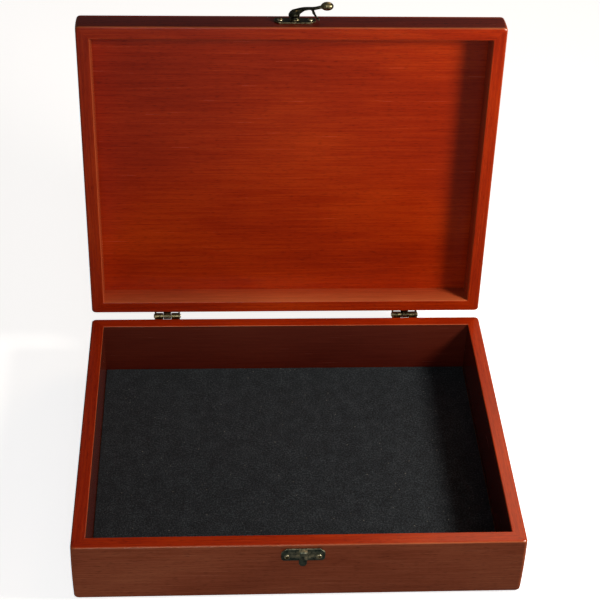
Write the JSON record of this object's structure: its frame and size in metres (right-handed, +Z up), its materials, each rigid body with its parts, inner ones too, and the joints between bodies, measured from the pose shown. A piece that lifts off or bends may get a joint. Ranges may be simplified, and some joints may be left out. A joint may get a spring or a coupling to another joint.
{
  "type": "hinged coin display box",
  "caption": "Shallow mitred wooden box with a felt floor, a framed hinged lid that stays open on stop hinges, and a swinging latch arm that hooks a keeper on the front.",
  "frame": {"origin": "centre of the flat underside of the base", "axes": "+Z up through the felt floor, +Y towards the hinges, +X to the right of someone facing the latch"},
  "size_m": [0.301, 0.2856, 0.3016],
  "materials": {
    "side_wood": "satin lacquer over red-brown stain",
    "front_wood": "satin lacquer over brown stain",
    "panel_wood": "satin lacquer over red-brown stain",
    "plywood": "bare plywood",
    "felt": "black felt",
    "antique_brass": "darkened antique brass",
    "bright_brass": "bright brass"
  },
  "bodies": {
    "base": {"base_back_board": "side_wood", "base_floor": "plywood", "base_front_board": "front_wood", "base_hinge_leaf_left": "antique_brass", "base_hinge_leaf_right": "antique_brass", "base_hinge_screw_left_1": "bright_brass", "base_hinge_screw_left_2": "bright_brass", "base_hinge_screw_right_1": "bright_brass", "base_hinge_screw_right_2": "bright_brass", "base_left_board": "side_wood", "base_right_board": "side_wood", "catch_plate": "antique_brass", "catch_screw_left": "bright_brass", "catch_screw_right": "bright_brass", "floor_felt": "felt", "hinge_pin_left": "antique_brass", "hinge_pin_right": "antique_brass"},
    "lid": {"latch_plate": "antique_brass", "latch_rivet": "antique_brass", "latch_screw_left": "bright_brass", "latch_screw_right": "bright_brass", "lid_back_board": "side_wood", "lid_front_board": "front_wood", "lid_hinge_leaf_left": "antique_brass", "lid_hinge_leaf_right": "antique_brass", "lid_hinge_screw_left_1": "bright_brass", "lid_hinge_screw_left_2": "bright_brass", "lid_hinge_screw_right_1": "bright_brass", "lid_hinge_screw_right_2": "bright_brass", "lid_left_board": "side_wood", "lid_panel": "panel_wood", "lid_right_board": "side_wood"},
    "latch_lever": {"latch_lever": "antique_brass"}
  },
  "joints": [
    {"name": "lid_hinge", "type": "hinge", "parent": "base", "child": "lid", "pos_m": [0, 0.12105, 0.04945], "axis": [1, 0, 0], "range_deg": [0, 95]},
    {"name": "latch_swing", "type": "hinge", "parent": "lid", "child": "latch_lever", "pos_m": [0.0017, 0.15204, 0.2872], "axis": [0, -0.0872, -0.9962], "range_deg": [-90, 75]}
  ]
}
